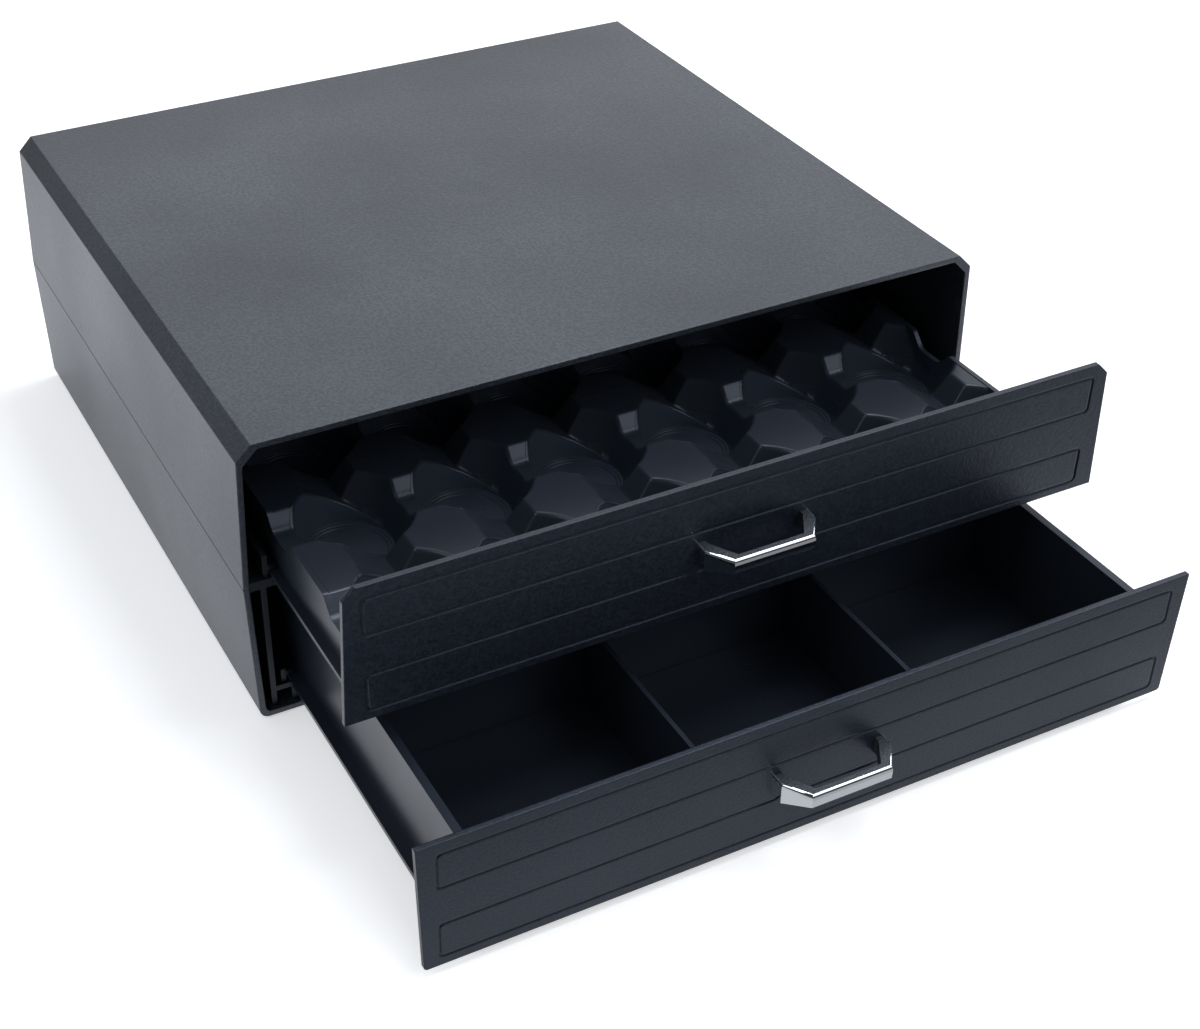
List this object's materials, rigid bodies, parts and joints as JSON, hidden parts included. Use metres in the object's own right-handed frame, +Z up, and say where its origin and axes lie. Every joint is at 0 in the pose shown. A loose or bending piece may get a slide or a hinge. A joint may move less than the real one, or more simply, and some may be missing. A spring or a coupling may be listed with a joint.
{
  "type": "coffee pod drawer",
  "caption": "Flat two-tier drawer case for a coffee corner: a pod tray with seats between posts slides out above a divided storage tray; fronts have chrome bow handles.",
  "frame": {"origin": "centre of the case's underside, the plane just above the feet", "axes": "+Z up; the drawers pull out towards -Y; +X to the right as seen from the front"},
  "size_m": [0.34, 0.4719, 0.132],
  "materials": {
    "case_plastic": "fine-grained moulded ABS, charcoal",
    "rail_plastic": "plain moulded polypropylene, near black",
    "tray_plastic": "satin moulded polypropylene, charcoal",
    "front_plastic": "fine-grained moulded ABS, blue-black",
    "chrome_trim": "bright plated",
    "screw_steel": "zinc plated",
    "foot_rubber": "matt"
  },
  "bodies": {
    "case": {"upper_shell": "case_plastic", "lower_shell": "case_plastic", "rail_left": "rail_plastic", "rail_right": "rail_plastic", "rail_screws": "screw_steel", "base_screws": "screw_steel", "foot_front_left": "foot_rubber", "foot_front_right": "foot_rubber", "foot_rear_left": "foot_rubber", "foot_rear_right": "foot_rubber"},
    "upper_drawer": {"pod_tray": "tray_plastic", "upper_front": "front_plastic", "upper_handle_core": "front_plastic", "upper_handle_trim": "chrome_trim", "upper_handle_screws": "screw_steel"},
    "lower_drawer": {"storage_tray": "tray_plastic", "divider_left": "tray_plastic", "divider_right": "tray_plastic", "cross_wall_front": "tray_plastic", "cross_wall_rear": "tray_plastic", "lower_front": "front_plastic", "lower_handle_core": "front_plastic", "lower_handle_trim": "chrome_trim", "lower_handle_screws": "screw_steel"}
  },
  "joints": [
    {"name": "upper_drawer_slide", "type": "slide", "parent": "case", "child": "upper_drawer", "axis": [0, -1, 0], "range_m": [-0.0933, 0.1067]},
    {"name": "lower_drawer_slide", "type": "slide", "parent": "case", "child": "lower_drawer", "axis": [0, -1, 0], "range_m": [-0.1539, 0.0461]}
  ]
}
